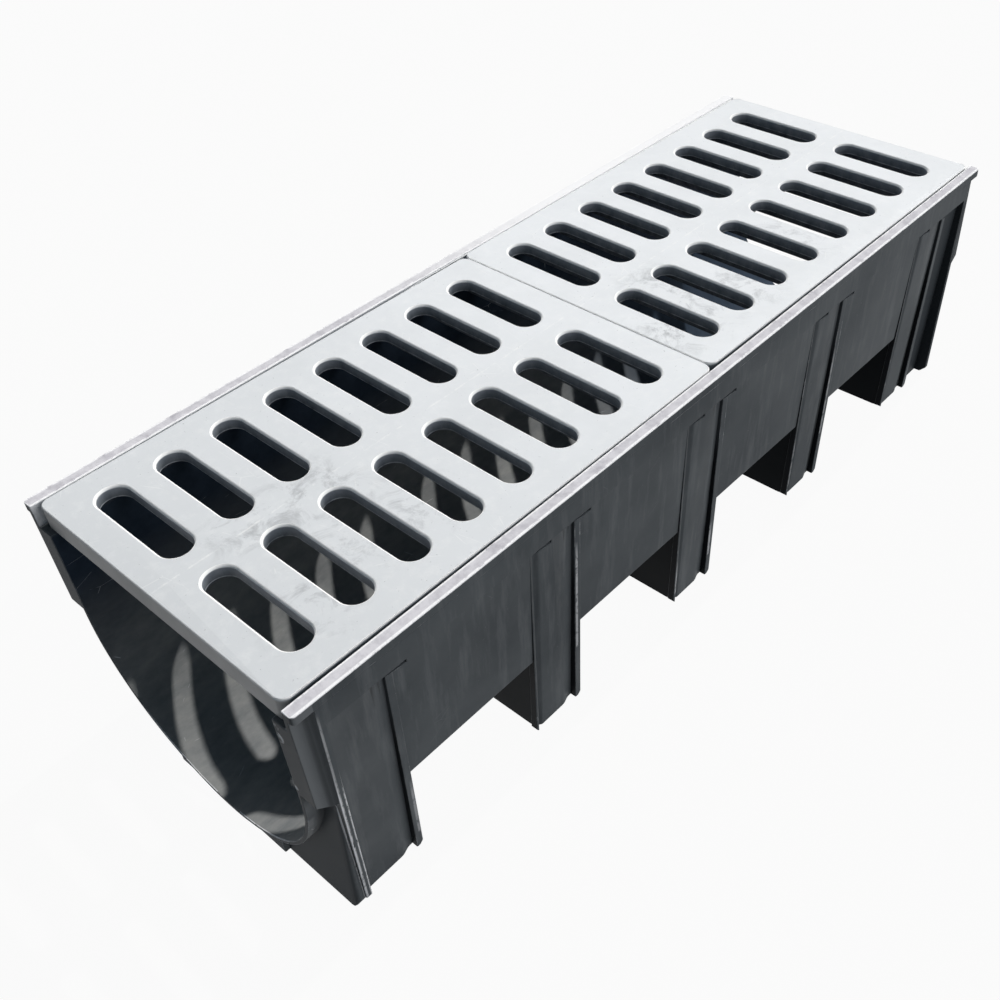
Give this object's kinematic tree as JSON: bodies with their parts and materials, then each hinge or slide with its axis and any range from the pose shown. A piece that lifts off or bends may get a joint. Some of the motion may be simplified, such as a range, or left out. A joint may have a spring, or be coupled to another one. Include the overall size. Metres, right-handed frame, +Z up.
{
  "type": "channel drain",
  "caption": "Straight drainage channel: a moulded round-bottomed trough with a ribbed skirt and hollow feet, and loose slotted grates lying in its rim.",
  "frame": {"origin": "centre of the footprint, on the floor that the feet stand on", "axes": "+X along the channel towards its far end, +Z up, Y across the channel; the two long sides are alike"},
  "size_m": [1, 0.352, 0.275],
  "materials": {
    "body_plastic": "matte charcoal moulded plastic, with pale scuffed edges",
    "grate_composite": "matte light grey composite, dusty and slightly smudged"
  },
  "bodies": {
    "root": {"channel_body": "body_plastic", "grate_near": "grate_composite", "grate_far": "grate_composite"}
  },
  "joints": []
}
